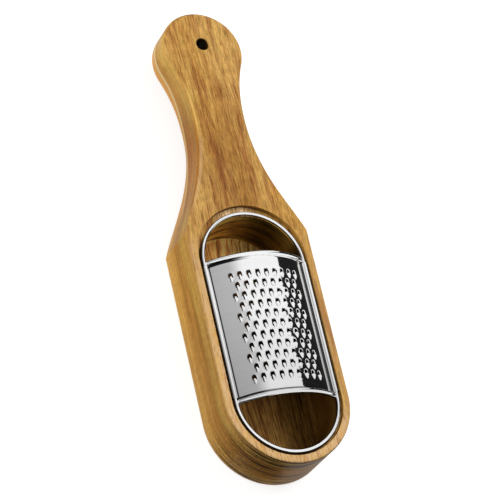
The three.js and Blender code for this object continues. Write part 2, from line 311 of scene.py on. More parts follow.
def all_of(first, *others):
    """The product of masks."""
    for other in others:
        first = sums("MULTIPLY", first, other)
    return first


def distance(across, up):
    """Length of the diagonal of two measures."""
    return sums("SQRT", sums("MULTIPLY_ADD", across, across, sums("MULTIPLY", up, up)))


def span(value, low, high, to_low=0.0, to_high=1.0):
    """A value taken from one span to another and held at its ends, with smooth turns."""
    values = {"Value": value, "From Min": low, "From Max": high, "To Min": to_low, "To Max": to_high}
    return new_node("MapRange", values, interpolation_type="SMOOTHSTEP")


def within(value, low, high, edge):
    """1 between two values and 0 outside them, with soft edges."""
    past_low = span(value, low - edge, low + edge)
    before_high = span(value, high - edge, high + edge, 1.0, 0.0)
    return sums("MULTIPLY", past_low, before_high)


def tint(share, colour, other, blend="MIX"):
    """Mixes two colours by a share. They go to the seventh and eighth inputs, which are for colours."""
    values = {0: share, 6: colour, 7: other}
    return new_node("Mix", values, data_type="RGBA", blend_type=blend, clamp_factor=True)


def stained(colour, *stains):
    """A colour multiplied by the tone of each stain, as far as the stain's mask says."""
    for mask, tone in stains:
        colour = tint(mask, colour, (*tone, 1.0), "MULTIPLY")
    return colour


def grey(level):
    """The grey of a level."""
    return new_node("CombineColor", {0: level, 1: level, 2: level})


def rgb(red, green, blue):
    """A colour from its values as seen on a screen, 0 to 255."""
    def linear(value):
        value = value / 255
        return value / 12.92 if value <= 0.04045 else ((value + 0.055) / 1.055) ** 2.4
    return (linear(red), linear(green), linear(blue), 1.0)


# One node group makes the noise of the wood's grain and of the sheet's brushing.
grain_group = bpy.data.node_groups.new("stretched grain", "ShaderNodeTree")
for name, way, kind in (
    ("Place", "INPUT", "Vector"), ("Spots Per Metre", "INPUT", "Vector"),
    ("Detail", "INPUT", "Float"), ("Offset", "INPUT", "Float"), ("Value", "OUTPUT", "Float"),
):
    grain_group.interface.new_socket(name, in_out=way, socket_type="NodeSocket" + kind)
given = grain_group.nodes.new("NodeGroupInput").outputs
stretched = new_node("VectorMath", {0: given["Place"], 1: given["Spots Per Metre"], 2: given["Offset"]},
                     operation="MULTIPLY_ADD")
noise = new_node("TexNoise", {
    "Vector": stretched, "Scale": 1.0, "Detail": given["Detail"], "Roughness": 0.55})
fill(grain_group.nodes.new("NodeGroupOutput"), {"Value": noise})


def grain(place, size, detail, offset):
    """Noise with the given size of its spots across, along and through the board."""
    values = {"Place": place, "Spots Per Metre": tuple(1 / length for length in size),
              "Detail": detail, "Offset": offset}
    return new_node("Group", values, node_tree=grain_group)


BENDS_PER_METRE = (22, 11, 22)
SWAY_REACH = (0.016, 0.0, 0.010)
SWAY_MIDDLE = (0.5, 0.5, 0.5)
LAYER_SWING = 0.016
LOWEST_LAYER = rgb(238, 184, 100)
HIGHEST_LAYER = rgb(214, 166, 92)
LAYERS_BETWEEN = (
    (0.26, rgb(234, 178, 92)), (0.44, rgb(206, 148, 74)), (0.62, rgb(198, 142, 70)),
    (0.80, rgb(216, 172, 88)), (0.95, rgb(206, 154, 78)),
)
wood_look = new_look(wood, "oiled hardwood")
# The masks and the grain are placed in metres along X, Y and Z of the piece, as it lies on a table.
coordinates = outputs(wood_look, "TexCoord")
place = coordinates["Object"]
spot = outputs(wood_look, "SeparateXYZ", place)
facing = outputs(wood_look, "SeparateXYZ", coordinates["Normal"])
facing_end = sums("ABSOLUTE", facing["Y"])
upright = span(sums("ABSOLUTE", facing["Z"]), 0.9, 0.4)

# The grain wanders sideways as it runs along the piece.
wander = new_node("VectorMath", {0: place, 1: BENDS_PER_METRE}, operation="MULTIPLY")
sway = new_node("TexNoise", {"Vector": wander, "Scale": 1.0, "Detail": 1.0, "Roughness": 0.4})
sway_way = new_node("VectorMath", {0: sway.node.outputs["Color"], 1: SWAY_MIDDLE}, operation="SUBTRACT")
swayed = new_node("VectorMath", {0: sway_way, 1: SWAY_REACH, 2: place}, operation="MULTIPLY_ADD")
broad = grain(place, (0.030, 0.150, 0.030), 1.0, 3.7)
bands = grain(swayed, (0.0034, 0.045, 0.010), 2.0, 7.7)
streaks = grain(swayed, (0.0009, 0.012, 0.006), 3.0, 11.3)
fibres = grain(swayed, (0.0005, 0.0055, 0.004), 2.0, 5.1)
ripple = grain(place, (0.0030, 0.0016, 0.004), 1.0, 2.9)
layer_lines = grain(place, (0.030, 0.060, 0.0009), 2.0, 8.9)
layer_bands = grain(place, (0.080, 0.160, 0.0026), 2.0, 4.3)
specks = grain(place, (0.0010, 0.0016, 0.0007), 2.0, 3.3)

# The board was sawn flat, so its growth layers lie nearly level and show as lines round the sides.
raised = sums("MULTIPLY_ADD", broad, LAYER_SWING, sums("SUBTRACT", spot["Z"], LAYER_SWING / 2))
layers = new_node("ValToRGB", {0: sums("DIVIDE", raised, BODY_TOP)})
ramp = layers.node.color_ramp
ramp.elements[0].color = LOWEST_LAYER
ramp.elements[1].color = HIGHEST_LAYER
for share, layer_colour in LAYERS_BETWEEN:
    ramp.elements.new(share).color = layer_colour
end_share = span(facing_end, 0.20, 0.90)
side_share = all_of(upright, span(spot["Y"], 0.100, 0.070, 0.4, 1.0))
flat_share = sums("MULTIPLY_ADD", upright, -0.82, 1.0)
towards_end = span(spot["Y"], -0.070, -0.115, 0.35, 0.45)
reddish = all_of(span(bands, 0.50, 0.66, 0.0, 0.8), flat_share)
golden = all_of(span(bands, 0.48, 0.34, 0.0, 0.7), flat_share)
brown_layers = all_of(span(layer_bands, 0.46, 0.62), side_share, towards_end)
dark_streaks = all_of(span(streaks, 0.52, 0.64, 0.0, 0.7), flat_share)
colour = tint(reddish, layers, rgb(178, 118, 62))
colour = tint(golden, colour, rgb(226, 180, 98))
colour = stained(colour, (brown_layers, (0.68, 0.58, 0.46)), (dark_streaks, (0.50, 0.38, 0.30)))

# The fibres, the cut layers and the pores of the end grain make the wood lighter and darker.
line_depth = sums("MULTIPLY_ADD", side_share, 0.22, end_share)
line_tone = all_of(span(layer_lines, 0.42, 0.57, -0.65, 0.4), line_depth)
end_specks = all_of(span(specks, 0.36, 0.64, -0.24, 0.16), side_share, span(spot["Y"], -0.100, -0.125))
shade = sums("MULTIPLY_ADD", span(fibres, 0.32, 0.68, -0.25, 0.20), flat_share, 1.0)
shade = sums("MULTIPLY", shade, span(ripple, 0.3, 0.7, 0.94, 1.05))
for change in (line_tone, end_specks):
    shade = sums("MULTIPLY_ADD", shade, change, shade)
colour = tint(1.0, colour, grey(shade), "MULTIPLY")

# The heart of the board runs redder and darker through the handle. End grain soaks up more oil.
heart = all_of(within(spot["Y"], -0.004, 0.075, 0.028), within(spot["X"], -0.016, 0.012, 0.009), 0.8)
spots = span(grain(swayed, (0.007, 0.022, 0.02), 2.0, 9.4), 0.50, 0.64)
patches = all_of(spots, flat_share, span(spot["Y"], 0.010, 0.030), 0.7)
colour = stained(
    colour,
    (heart, (0.66, 0.55, 0.45)),
    (patches, (0.78, 0.66, 0.62)),
    (end_share, (0.42, 0.40, 0.34)),
)

# Round the handle a ridge shows where its lower edge is rounded over. Below the ridge the rounded
# edge has painted bounce light from the floor, and the ridge a painted highlight, most of all at the
# head. Above the ridge the sides are brown at the neck and brightened with painted light at the head.
# The upright faces of the body are lighter towards the shoulder.
side_of_handle = all_of(span(spot["Y"], 0.004, 0.030), upright)
above_ridge = sums("SUBTRACT", spot["Z"], span(spot["Y"], 0.055, 0.110, 0.0150, 0.0182))
head_share = all_of(span(spot["Y"], 0.060, 0.105, 0.55, 1.0), span(facing_end, 0.60, 0.90, 1.0, 0.35))
bounce_lit_edge = all_of(side_of_handle, span(above_ridge, 0.0, -0.0012), head_share)
ridge = all_of(side_of_handle, within(above_ridge, -0.0004, 0.0016, 0.0006), head_share)
# Painted bounce light on the rounded edge below the ridge, and a painted highlight on the ridge.
colour = tint(bounce_lit_edge, colour, rgb(250, 182, 98))
colour = tint(ridge, colour, (1.0, 0.74, 0.34, 1))
high_side = all_of(side_of_handle, span(above_ridge, 0.0012, 0.0030))
upper_wall = all_of(upright, span(spot["Y"], -0.080, -0.020), span(spot["Y"], 0.025, 0.0))
# The sides above the ridge are brown at the neck and get painted light at the head.
colour = stained(
    colour,
    (all_of(high_side, span(spot["Y"], 0.080, 0.055)), (0.98, 0.76, 0.50)),
    (all_of(high_side, span(spot["Y"], 0.070, 0.100)), (1.35, 1.40, 1.45)),
    (upper_wall, (1.18, 1.20, 1.08)),
)

# The left upper edge has a painted highlight from the head to the shoulder.
left_edge = all_of(span(spot["Z"], BODY_TOP - 0.0028, BODY_TOP - 0.0022), span(spot["X"], 0.002, -0.004))
head_edge_highlight = all_of(left_edge, within(facing["Z"], 0.62, 0.90, 0.08),
                   within(spot["Y"], 0.060, 0.094, 0.010), 0.8)
neck_edge_highlight = all_of(left_edge, within(facing["Z"], 0.66, 0.985, 0.02),
                   within(spot["Y"], 0.012, 0.056, 0.010), 0.45)
colour = tint(head_edge_highlight, colour, rgb(255, 206, 112))
colour = tint(neck_edge_highlight, colour, rgb(232, 186, 136))

# The hollow has painted shade: darker than the outside towards its middle, darkest under the
# teeth, and dark on its right wall. At the handle's end its floor and wall have painted light.
# Grain streaks run along its floor.
run_y = sums("MINIMUM", sums("MAXIMUM", spot["Y"], LOWER_CENTRE_Y), UPPER_CENTRE_Y)
past_y = sums("SUBTRACT", spot["Y"], run_y)
reach = distance(past_y, spot["X"])
inside = all_of(
    span(reach, HOLLOW_RADIUS + 0.0003, HOLLOW_RADIUS + 0.0008, 1.0, 0.0),
    span(spot["Z"], 0.001, 0.003),
    span(spot["Z"], REBATE_FLOOR - 0.00015, REBATE_FLOOR - 0.00045),
)
on_floor = all_of(inside, span(spot["Z"], HOLLOW_FLOOR + 0.0020, HOLLOW_FLOOR + 0.0005))
in_pocket = span(spot["Y"], -0.012, -0.008)
middle = all_of(inside, span(spot["Y"], -0.112, -0.090), span(spot["Y"], -0.008, -0.012))
shade_under_teeth = all_of(inside, span(spot["Y"], -0.094, -0.076), span(spot["Y"], -0.006, -0.016),
                     span(spot["X"], -0.028, -0.004))
right_wall_shade = all_of(inside, span(spot["X"], 0.0, 0.018))
lit_pocket_wall = all_of(inside, upright, in_pocket, span(spot["X"], 0.016, -0.016))
floor_streaks = span(grain(swayed, (0.0010, 0.030, 0.01), 2.0, 6.6), 0.50, 0.57, 0.0, 0.85)
# Painted shade in the middle, under the teeth and on the right wall; painted light on the pocket's floor
# and wall.
colour = stained(
    colour,
    (middle, (0.78, 0.74, 0.74)),
    (shade_under_teeth, (0.12, 0.112, 0.105)),
    (right_wall_shade, (0.38, 0.36, 0.28)),
    (all_of(on_floor, in_pocket), (2.8, 3.7, 5.2)),
    (all_of(on_floor, floor_streaks), (0.42, 0.32, 0.23)),
    (lit_pocket_wall, (4.2, 5.2, 6.4)),
)

# The rim round the hollow is worn paler, most of all at its left and its lower end.
on_rim = all_of(span(spot["Z"], BODY_TOP - 0.0014, BODY_TOP - 0.0008), span(spot["Y"], 0.0, -0.020),
                span(facing["Z"], 0.55, 0.75))
worn_side = sums("MAXIMUM", span(spot["X"], 0.010, -0.020), span(spot["Y"], -0.100, -0.125))
rim_wear = all_of(on_rim, span(worn_side, 0.0, 1.0, 0.25, 0.95), span(fibres, 0.44, 0.58, 1.0, 0.15),
                  span(spot["Y"], -0.020, -0.085, 0.7, 1.0))
colour = tint(rim_wear, colour, rgb(240, 198, 146))

# The rebate has painted shade in the gap under the insert, and is paler on its ledge at the handle's end.
ledge = all_of(
    within(spot["Z"], REBATE_FLOOR - 0.00045, REBATE_FLOOR + 0.00045, 0.0002),
    span(reach, HOLLOW_RADIUS - 0.0004, HOLLOW_RADIUS + 0.0002),
    span(reach, REBATE_RADIUS + 0.0026, REBATE_RADIUS + 0.0022),
)
rebate_gap_shade = all_of(ledge, span(past_y, 0.020, 0.008),
                span(reach, REBATE_RADIUS - 0.0004, REBATE_RADIUS - 0.0010))
pale_end = all_of(ledge, span(past_y, 0.016, 0.026), within(spot["X"], -0.014, 0.006, 0.005))
ledge_patches = span(grain(place, (0.0014, 0.009, 0.01), 2.0, 1.7), 0.44, 0.52, 0.15, 1.0)
# Painted shade in the gap round the ring.
colour = stained(colour, (rebate_gap_shade, (0.07, 0.06, 0.05)))
colour = tint(all_of(pale_end, ledge_patches), colour, rgb(255, 216, 164))

# The drilled hole's wall has painted shade. In the polished steel the wood's reflection is painted nearly
# black.
hole_reach = distance(sums("SUBTRACT", spot["Y"], HANGING_HOLE_Y), spot["X"])
hole_shade = all_of(span(hole_reach, HANGING_HOLE_RADIUS + 0.00055, HANGING_HOLE_RADIUS + 0.00015),
                 span(spot["Z"], BODY_TOP - 0.0004, BODY_TOP - 0.0010))
dark_reflection = sums("MULTIPLY", outputs(wood_look, "LightPath")["Is Glossy Ray"], 0.88)
colour = stained(colour, (hole_shade, (0.06, 0.05, 0.05)), (dark_reflection, (0.0, 0.0, 0.0)))
relief = new_node("Bump", {"Strength": 0.25, "Distance": 0.0002, "Height": shade})
dress(wood_look, {"Base Color": colour, "Roughness": 0.48, "Specular IOR Level": 0.12, "Normal": relief})


# Wire ring. It is a closed ring of polished stainless wire, bent to a stadium, and it lies in the
# rebate of the wood. The sheet's two long edges are rolled round its straights.
ring_low, ring_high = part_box("wire_ring")
RING_WIRE_RADIUS = (ring_high.z - ring_low.z) / 2
RING_RADIUS = (ring_high.x - ring_low.x) / 2 - RING_WIRE_RADIUS
RING_Z = (ring_high.z + ring_low.z) / 2
RING_WIRE_SIDES = 24
RING_JOIN_DISTANCE = 1e-6
WIRE_SHARP_ANGLE = math.radians(60)


def turned(mesh, edges, centre, axis, angle, steps):
    """Sweeps edges round an axis and returns the edges at the end of the sweep."""
    made = bmesh.ops.spin(mesh, geom=list(edges), cent=centre, axis=axis, angle=angle, steps=steps)
    return [part for part in made["geom_last"] if isinstance(part, bmesh.types.BMEdge)]


def drawn_out(mesh, edges, way):
    """Sweeps edges straight along a way and returns the edges at its end."""
    made = bmesh.ops.extrude_edge_only(mesh, edges=list(edges))["geom"]
    corners = {part for part in made if isinstance(part, bmesh.types.BMVert)}
    bmesh.ops.translate(mesh, verts=list(corners), vec=way)
    made_edges = [part for part in made if isinstance(part, bmesh.types.BMEdge)]
    return [edge for edge in made_edges if corners.issuperset(edge.verts)]


def wire_section(mesh, radius, sides, matrix):
    """The round section of a wire, set by a matrix. Returns its edges."""
    made = bmesh.ops.create_circle(mesh, segments=sides, radius=radius, matrix=matrix)
    return {edge for corner in made["verts"] for edge in corner.link_edges}


ring_mesh = bmesh.new()
lower_centre = Vector((0, LOWER_CENTRE_Y, RING_Z))
upper_centre = Vector((0, UPPER_CENTRE_Y, RING_Z))
straight = upper_centre - lower_centre
left_start = Matrix.Translation(lower_centre - Vector((RING_RADIUS, 0, 0)))
section = wire_section(ring_mesh, RING_WIRE_RADIUS, RING_WIRE_SIDES,
                       left_start @ Matrix.Rotation(math.pi / 2, 4, "X"))
for centre, way in ((lower_centre, straight), (upper_centre, -straight)):
    section = turned(ring_mesh, section, centre, (0, 0, 1), math.pi, HALF_TURN_STEPS)
    section = drawn_out(ring_mesh, section, way)
bmesh.ops.remove_doubles(ring_mesh, verts=ring_mesh.verts, dist=RING_JOIN_DISTANCE)
ring = piece_of("ring_of_wire", ring_mesh)
settle(ring, WIRE_SHARP_ANGLE)
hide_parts("wire_ring")
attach(ring, "insert")
wire_look = new_look(ring, "polished stainless wire")
dress(wire_look, {"Base Color": (0.87, 0.87, 0.88, 1), "Metallic": 1, "Roughness": 0.08})


# Cross wires. Two wires of the same steel arch from side to side under the ends of the sheet,
# which is rolled round them. Each is welded to the inner side of the ring at both its ends.
ROLL_CLEARANCE = 0.00015
SHEET_THICKNESS = 0.0004
ROLL_BEND_RADIUS = 0.00055
ARCH_RISE = 0.0109
SIDE_ROLL_RADIUS = RING_WIRE_RADIUS + ROLL_CLEARANCE + SHEET_THICKNESS / 2
FOOT_X = RING_RADIUS - SIDE_ROLL_RADIUS - ROLL_BEND_RADIUS
ARCH_RADIUS = (FOOT_X**2 + ARCH_RISE**2 - ROLL_BEND_RADIUS**2) / (2 * (ARCH_RISE + ROLL_BEND_RADIUS))
ARCH_AXIS_Z = RING_Z + ARCH_RISE - ARCH_RADIUS
ARCH_ANGLE = math.atan2(FOOT_X, RING_Z - ARCH_AXIS_Z)
CROSS_WIRE_RADIUS = 0.0009
CROSS_WIRE_SIDES = 20
CROSS_WIRE_STEPS = 56
CROSS_ARCH_RADIUS = ARCH_RADIUS + ROLL_BEND_RADIUS
WELD_RADIUS = 0.0011


def cross_wire(name, node, y):
    """An arched wire over the arch's axis at one end of the sheet, with a weld at each end."""
    low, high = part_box(node)
    half_angle = math.asin((high.x - low.x) / 2 / CROSS_ARCH_RADIUS)
    axis_place = Vector((0, y, ARCH_AXIS_Z))
    mesh = bmesh.new()
    start = (
        Matrix.Translation(axis_place)
        @ Matrix.Rotation(-half_angle, 4, "Y")
        @ Matrix.Translation((0, 0, CROSS_ARCH_RADIUS))
        @ Matrix.Rotation(math.pi / 2, 4, "Y")
    )
    section = wire_section(mesh, CROSS_WIRE_RADIUS, CROSS_WIRE_SIDES, start)
    turned(mesh, section, axis_place, (0, 1, 0), 2 * half_angle, CROSS_WIRE_STEPS)
    bmesh.ops.holes_fill(mesh, edges=mesh.edges)
    for side in (-1, 1):
        weld = Matrix.Translation((side * (RING_RADIUS - WELD_RADIUS), y, RING_Z))
        bmesh.ops.create_icosphere(mesh, subdivisions=3, radius=WELD_RADIUS, matrix=weld)
    wire = piece_of(name, mesh)
    settle(wire, WIRE_SHARP_ANGLE)
    wire.data.materials.append(wire_look)
    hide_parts(node)
    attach(wire, "insert")


cross_wire("upper_arched_wire", "upper_cross_wire", UPPER_CENTRE_Y)
cross_wire("lower_arched_wire", "lower_cross_wire", LOWER_CENTRE_Y)


# Grating plate. A thin stainless sheet is punched with staggered rows of raised teeth, each with
# its mouth towards the handle. It is arched, and its four edges are rolled round the wires.
TOOTH_ROWS = 11
TEETH_IN_LONG_ROW = 9
ROW_PITCH = 0.006
TOOTH_PITCH = 0.005
ROWS_BELOW_MIDDLE = 0.0006
CELL_STEPS = 14
HALF_CELL = CELL_STEPS // 2
HALF_TOOTH = 5
LIP_STEP = 2
FRONT_STEP = 3
CELL_BELOW_TOOTH = 0.0002
SIDE_MARGIN_STEPS = 8
LOWER_MARGIN_STEPS = 5
UPPER_MARGIN_STEPS = 9
SKIRT_HEIGHT = 0.00005
FLANK_CURVE = 1.6
TAIL_ROUNDNESS = 2
MOUTH_ROUNDNESS = 3
ROLL_SWEEP = math.radians(285)
ROLL_STEPS = 18
END_BEND_STEPS = 5
SIDE_BEND_STEPS = 7
END_ROLL_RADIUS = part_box("grater_plate")[1].z - ARCH_AXIS_Z - CROSS_ARCH_RADIUS - SHEET_THICKNESS / 2
SHEET_INSET = ROLL_BEND_RADIUS + END_ROLL_RADIUS
SHEET_LOW = LOWER_CENTRE_Y + SHEET_INSET
SHEET_HIGH = UPPER_CENTRE_Y - SHEET_INSET
SHEET_HALF = ARCH_RADIUS * ARCH_ANGLE
SHEET_JOIN_DISTANCE = 1e-7
SHEET_SHARP_ANGLE = math.radians(40)
FIELD_COLUMNS = (TEETH_IN_LONG_ROW + 1) * CELL_STEPS
FIELD_ROWS = TOOTH_ROWS * CELL_STEPS
FIELD_MIDDLE = (LOWER_CENTRE_Y + UPPER_CENTRE_Y) / 2 - ROWS_BELOW_MIDDLE
FIELD_LOW = FIELD_MIDDLE - TOOTH_ROWS * ROW_PITCH / 2 - CELL_BELOW_TOOTH
FIELD_HIGH = FIELD_LOW + TOOTH_ROWS * ROW_PITCH
FIELD_HALF = FIELD_COLUMNS / 2 * TOOTH_PITCH / CELL_STEPS
# Lines across a tooth's cell from its tail to its front, in steps from the cell's middle. For each
# line, its place at the middle and at the edge of the tooth, the tooth's half width and its height.
TOOTH_LINES = (
    (-7, -0.0032, -0.0032, 0.0014, 0.0),
    (-6, -0.0030, -0.0029, 0.0003, 0.0),
    (-5, -0.0026, -0.0026, 0.0005, 0.00042),
    (-3, -0.0018, -0.0019, 0.0009, 0.0008),
    (0, -0.0009, -0.0011, 0.0013, 0.00118),
    (2, -0.0002, -0.0005, 0.00145, 0.0013),
    (3, 0.0023, -0.0004, 0.0014, 0.0003),
    (4, 0.0026, 0.0, 0.0015, 0.0),
    (7, 0.0028, 0.0028, 0.0014, 0.0),
)


def tooth_line(step):
    """The measures of the line at a step, between the two listed lines beside it."""
    for before, after in zip(TOOTH_LINES, TOOTH_LINES[1:]):
        if step <= after[0]:
            share = (step - before[0]) / (after[0] - before[0])
            return [a + (b - a) * share for a, b in zip(before[1:], after[1:])]
    return TOOTH_LINES[-1][1:]


def tooth_cell(column, row):
    """Steps from the middle of the tooth cell that holds a place, and its row, or None outside.

    Columns count from the middle of the sheet and rows from the lower end of the toothed field."""
    tooth_row = min(max(int(row // CELL_STEPS), 0), TOOTH_ROWS - 1)
    teeth = TEETH_IN_LONG_ROW - tooth_row % 2
    from_left = column + teeth * HALF_CELL
    along_row = row - (tooth_row + 0.5) * CELL_STEPS
    if from_left < 0 or from_left > teeth * CELL_STEPS or abs(along_row) > HALF_CELL:
        return None
    tooth = min(int(from_left // CELL_STEPS), teeth - 1)
    return from_left - (tooth + 0.5) * CELL_STEPS, along_row, tooth_row


def sheet_place(column, row):
    """Place of a grid corner on the flat sheet: across, along and its height as part of a tooth."""
    cell = tooth_cell(column, row)
    step = TOOTH_PITCH / CELL_STEPS
    plain_y = FIELD_LOW + row * ROW_PITCH / CELL_STEPS
    if cell is None:
        return column * step, plain_y, 0
    i, j, tooth_row = cell
    middle, edge, half_width, height = tooth_line(j)
    share = abs(i) / HALF_TOOTH
    past = max(share - 1, 0) / (HALF_CELL / HALF_TOOTH - 1)
    tooth_y = FIELD_LOW + (tooth_row + 0.5) * ROW_PITCH + CELL_BELOW_TOOTH
    rise = SKIRT_HEIGHT * (1 - past) ** 2 * (1 - (j / HALF_CELL) ** 2)
    if share <= 1:
        across = half_width * share
        roundness = MOUTH_ROUNDNESS if j >= FRONT_STEP else TAIL_ROUNDNESS
        along_sheet = tooth_y + middle + (edge - middle) * (1 - math.sqrt(1 - share**roundness))
        rise += height * (1 - share**FLANK_CURVE)
    else:
        across = half_width + (TOOTH_PITCH / 2 - half_width) * past
        along_sheet = (tooth_y + edge) * (1 - past) + plain_y * past
    return (column - i) * step + math.copysign(across, i), along_sheet, rise


# The grid is 1 wide and 1 high about its middle at first, with one square to a step.
columns = FIELD_COLUMNS + 2 * SIDE_MARGIN_STEPS
rows = FIELD_ROWS + LOWER_MARGIN_STEPS + UPPER_MARGIN_STEPS
sheet = bmesh.new()
bmesh.ops.create_grid(sheet, x_segments=columns, y_segments=rows, size=0.5)


def steps_at(place):
    """Column and row of a place on the grid, with fractions."""
    return place.x * columns, (place.y + 0.5) * rows - LOWER_MARGIN_STEPS


ends = {"left": [], "right": [], "lower": [], "upper": []}
for edge in sheet.edges:
    if edge.is_boundary:
        where = (edge.verts[0].co + edge.verts[1].co) / 2
        if abs(where.x) > abs(where.y):
            ends["right" if where.x > 0 else "left"].append(edge)
        else:
            ends["upper" if where.y > 0 else "lower"].append(edge)
mouths = []
for face in sheet.faces:
    cell = tooth_cell(*steps_at(face.calc_center_median()))
    if cell and abs(cell[0]) < HALF_TOOTH and LIP_STEP < cell[1] < FRONT_STEP:
        mouths.append(face)
bmesh.ops.delete(sheet, geom=mouths, context="FACES_ONLY")
for corner in sheet.verts:
    column, row = (round(steps) for steps in steps_at(corner.co))
    across, along_sheet, rise = sheet_place(column, row)
    past_side = abs(column) - FIELD_COLUMNS // 2
    if past_side > 0:
        across = math.copysign(
            FIELD_HALF + (SHEET_HALF - FIELD_HALF) * past_side / SIDE_MARGIN_STEPS, column
        )
    if row < 0:
        along_sheet = FIELD_LOW + (SHEET_LOW - FIELD_LOW) * -row / LOWER_MARGIN_STEPS
    if row > FIELD_ROWS:
        along_sheet = FIELD_HIGH + (SHEET_HIGH - FIELD_HIGH) * (row - FIELD_ROWS) / UPPER_MARGIN_STEPS
    corner.co = (across, along_sheet, rise)

for end, way, y in (("upper", 1, SHEET_HIGH), ("lower", -1, SHEET_LOW)):
    bent = turned(sheet, ends[end], (0, y, ROLL_BEND_RADIUS), (1, 0, 0),
                  way * math.pi / 2, END_BEND_STEPS)
    wire_place = (0, y + way * SHEET_INSET, ROLL_BEND_RADIUS)
    turned(sheet, bent, wire_place, (1, 0, 0), -way * ROLL_SWEEP, ROLL_STEPS)
for corner in sheet.verts:
    angle = corner.co.x / ARCH_RADIUS
    from_axis = ARCH_RADIUS + corner.co.z
    corner.co.x = from_axis * math.sin(angle)
    corner.co.z = ARCH_AXIS_Z + from_axis * math.cos(angle)
bend_x = CROSS_ARCH_RADIUS * math.sin(ARCH_ANGLE)
bend_z = ARCH_AXIS_Z + CROSS_ARCH_RADIUS * math.cos(ARCH_ANGLE)
for side, way in (("right", 1), ("left", -1)):
    bent = turned(sheet, ends[side], (way * bend_x, 0, bend_z), (0, 1, 0),
                  -way * (math.pi / 2 + ARCH_ANGLE), SIDE_BEND_STEPS)
    turned(sheet, bent, (way * RING_RADIUS, 0, RING_Z), (0, 1, 0), way * ROLL_SWEEP, ROLL_STEPS)
bmesh.ops.remove_doubles(sheet, verts=sheet.verts, dist=SHEET_JOIN_DISTANCE)
plate = piece_of("grating_plate", sheet)
gauge = plate.modifiers.new("sheet thickness", "SOLIDIFY")
gauge.thickness = SHEET_THICKNESS
gauge.offset = 0
settle(plate, SHEET_SHARP_ANGLE)
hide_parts("grater_plate")
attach(plate, "insert")

sheet_look = new_look(plate, "polished stainless sheet")
sheet_coordinates = outputs(sheet_look, "TexCoord")
sheet_spot = outputs(sheet_look, "SeparateXYZ", sheet_coordinates["Object"])
sheet_facing = outputs(sheet_look, "SeparateXYZ", sheet_coordinates["Normal"])
from_middle = sums("ABSOLUTE", sheet_spot["X"])
above_axis = sums("SUBTRACT", sheet_spot["Z"], ARCH_AXIS_Z)
brushed = grain(sheet_coordinates["Object"], (0.030, 0.0011, 0.030), 3.0, 6.1)
# The brushing varies the sheet's tone, and a painted shade darkens its reflection towards the lower end.
sheet_tone = all_of(span(brushed, 0.3, 0.7, 0.87, 0.91), span(sheet_spot["Y"], -0.112, -0.040, 0.80, 1.0))

# The sheet's underside is darkened with painted shade.
outwards = sums("MULTIPLY_ADD", sheet_spot["X"], sheet_facing["X"],
                sums("MULTIPLY", above_axis, sheet_facing["Z"]))
underside_shade = all_of(
    span(outwards, 0.0, -0.006),
    span(from_middle, FOOT_X - 0.0005, FOOT_X - 0.0015),
    span(sheet_spot["Y"], SHEET_LOW, SHEET_LOW + 0.001),
    span(sheet_spot["Y"], SHEET_HIGH, SHEET_HIGH - 0.001),
)

# The folds beside the rolled edges and at the ends have painted shade in them. It is widest at the left of
# the end folds, where it also stands for a dark reflection.
from_side_fold = distance(sums("SUBTRACT", from_middle, FOOT_X), sums("SUBTRACT", sheet_spot["Z"], RING_Z))
past_upper_end = sums("SUBTRACT", sheet_spot["Y"], SHEET_HIGH)
past_lower_end = sums("SUBTRACT", SHEET_LOW, sheet_spot["Y"])
from_end_fold = distance(
    sums("SUBTRACT", distance(sheet_spot["X"], above_axis), CROSS_ARCH_RADIUS),
    sums("MAXIMUM", past_upper_end, past_lower_end),
)
right_narrowing = span(sheet_spot["X"], -0.001, 0.001, 0.0, 0.00020)
side_fold_shade = span(sums("ADD", from_side_fold, right_narrowing), 0.0008, 0.0006, 0.0, 0.9)
left_end_fold_shade = all_of(span(from_end_fold, 0.0011, 0.0008), span(sheet_spot["X"], -0.006, -0.018))
lower_end_fold_shade = all_of(span(from_end_fold, 0.0008, 0.0005, 0.0, 0.85),
                        span(sheet_spot["Y"], -0.070, -0.080), span(sheet_spot["X"], 0.020, 0.010))
fold_shade = sums("MAXIMUM", side_fold_shade, sums("MAXIMUM", left_end_fold_shade, lower_end_fold_shade))
for dark_share, darkness in ((underside_shade, -0.85), (fold_shade, -0.98)):
    sheet_tone = sums("MULTIPLY", sheet_tone, sums("MULTIPLY_ADD", dark_share, darkness, 1.0))
dress(sheet_look, {"Base Color": grey(sheet_tone), "Metallic": 1, "Roughness": 0.06})


# Studio. A white floor lies under the grater, with a large soft light over the handle's right side
# and a smaller one at the left. The cards show only in the polished metal, as a studio's flags do.
FLOOR_SIZE = 8
FLOOR_COLOUR = (0.6, 0.6, 0.6, 1)
FLOOR_GLOW = 0.74
WHITE = (1, 1, 1, 1)
SKY_SEEN = 1.0
SKY_LIGHT = 0.4
floor_mesh = bmesh.new()
bmesh.ops.create_grid(floor_mesh, x_segments=1, y_segments=1, size=FLOOR_SIZE / 2)
floor = piece_of("floor", floor_mesh)
floor_look = new_look(floor, "white floor")
floor_path = outputs(floor_look, "LightPath")
seen = sums("ADD", floor_path["Is Camera Ray"], floor_path["Is Glossy Ray"])
seen = sums("ADD", seen, floor_path["Is Transmission Ray"])
dress(floor_look, {
    "Base Color": FLOOR_COLOUR, "Roughness": 1, "Specular IOR Level": 0,
    "Emission Color": WHITE, "Emission Strength": sums("MULTIPLY", seen, FLOOR_GLOW),
})


def soft_light(name, place, size, power):
    """A square soft light that shines at the middle of the grater and doesn't show in metal."""
    light = bpy.data.lights.new(name, "AREA")
    light.size = size
    light.energy = power
    holder = bpy.data.objects.new(name, light)
    bpy.context.scene.collection.objects.link(holder)
    holder.location = place
    holder.rotation_euler = (-Vector(place)).to_track_quat("-Z", "Y").to_euler()
    holder.visible_glossy = False


soft_light("key light", (0.7, 0.5, 1.0), 0.9, 9.0)
soft_light("left light", (-1.1, 0.5, 0.6), 0.7, 6.0)


